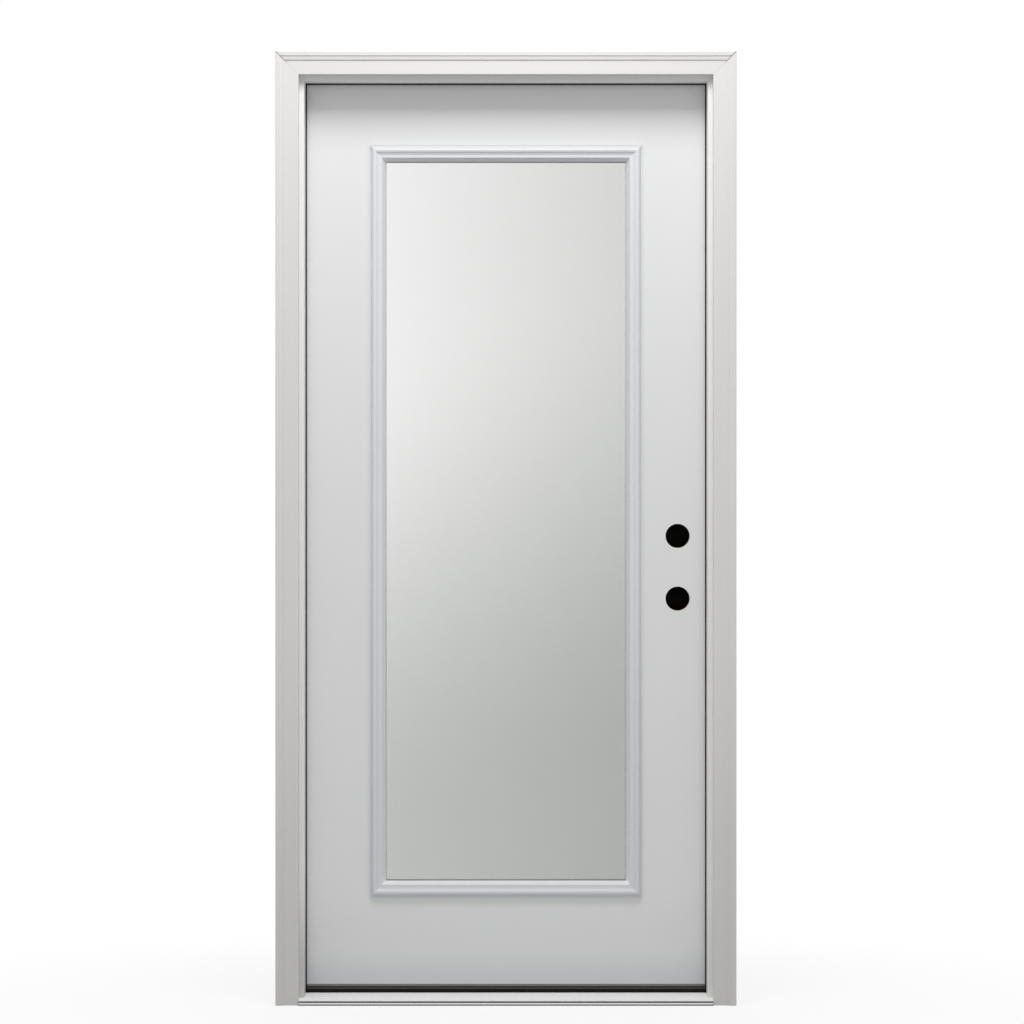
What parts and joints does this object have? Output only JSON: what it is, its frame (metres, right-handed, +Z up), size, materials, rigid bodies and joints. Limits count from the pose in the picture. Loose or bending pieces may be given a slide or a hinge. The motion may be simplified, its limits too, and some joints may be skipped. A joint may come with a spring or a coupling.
{
  "type": "fiberglass front door",
  "caption": "Pre-hung inswing entry door: smooth white slab with a full-length glass lite, in a jamb frame with brickmould, metal sill, seals and butt hinges; bored for a lock.",
  "frame": {"origin": "underside of the sill, midway between the jambs, on the plane of the brickmould's back", "axes": "+Z up, -Y outdoors, +Y indoors, -X hinge side, +X lock side"},
  "size_m": [1.016, 0.1667, 2.1035],
  "materials": {
    "jamb_paint": "factory white primer paint, satin",
    "brickmould_paint": "factory white primer paint, satin",
    "skin_paint": "smooth white moulded skin, satin",
    "edge_paint": "painted white stiles and rails",
    "block_wood": "raw sawn wood",
    "foam": "rigid insulating foam",
    "lite_frame_plastic": "white moulded frame, satin",
    "clear_glass": "clear polished glass",
    "spacer_metal": "satin metal spacer",
    "black_rubber": "black foam seal",
    "sweep_vinyl": "dark ribbed vinyl",
    "mill_aluminium": "bright mill finish",
    "sill_composite": "dark composite",
    "cap_composite": "dark brown composite",
    "hinge_steel": "satin nickel plated steel"
  },
  "bodies": {
    "frame": {"hinge_jamb": "jamb_paint", "strike_jamb": "jamb_paint", "head_jamb": "jamb_paint", "brickmould_left": "brickmould_paint", "brickmould_right": "brickmould_paint", "brickmould_head": "brickmould_paint", "sill_base": "sill_composite", "sill_deck": "mill_aluminium", "sill_cap": "cap_composite", "weatherstrip_hinge_side": "black_rubber", "weatherstrip_strike_side": "black_rubber", "weatherstrip_head": "black_rubber", "corner_seal_left": "black_rubber", "corner_seal_right": "black_rubber", "hinge_jamb_leaf_top": "hinge_steel", "hinge_jamb_leaf_middle": "hinge_steel", "hinge_jamb_leaf_bottom": "hinge_steel", "hinge_pin_top": "hinge_steel", "hinge_pin_middle": "hinge_steel", "hinge_pin_bottom": "hinge_steel"},
    "door": {"exterior_skin": "skin_paint", "interior_skin": "skin_paint", "hinge_stile": "edge_paint", "lock_stile": "edge_paint", "top_rail": "edge_paint", "bottom_rail": "edge_paint", "lock_block": "block_wood", "foam_core": "foam", "lite_frame_exterior": "lite_frame_plastic", "lite_frame_interior": "lite_frame_plastic", "outer_pane": "clear_glass", "inner_pane": "clear_glass", "glass_spacer": "spacer_metal", "glazing_seal": "black_rubber", "door_sweep": "sweep_vinyl", "hinge_door_leaf_top": "hinge_steel", "hinge_door_leaf_middle": "hinge_steel", "hinge_door_leaf_bottom": "hinge_steel"}
  },
  "joints": [
    {"name": "door_swing", "type": "hinge", "parent": "frame", "child": "door", "pos_m": [-0.4547, 0.1286, 0], "axis": [0, 0, 1], "range_deg": [0, 180]}
  ]
}
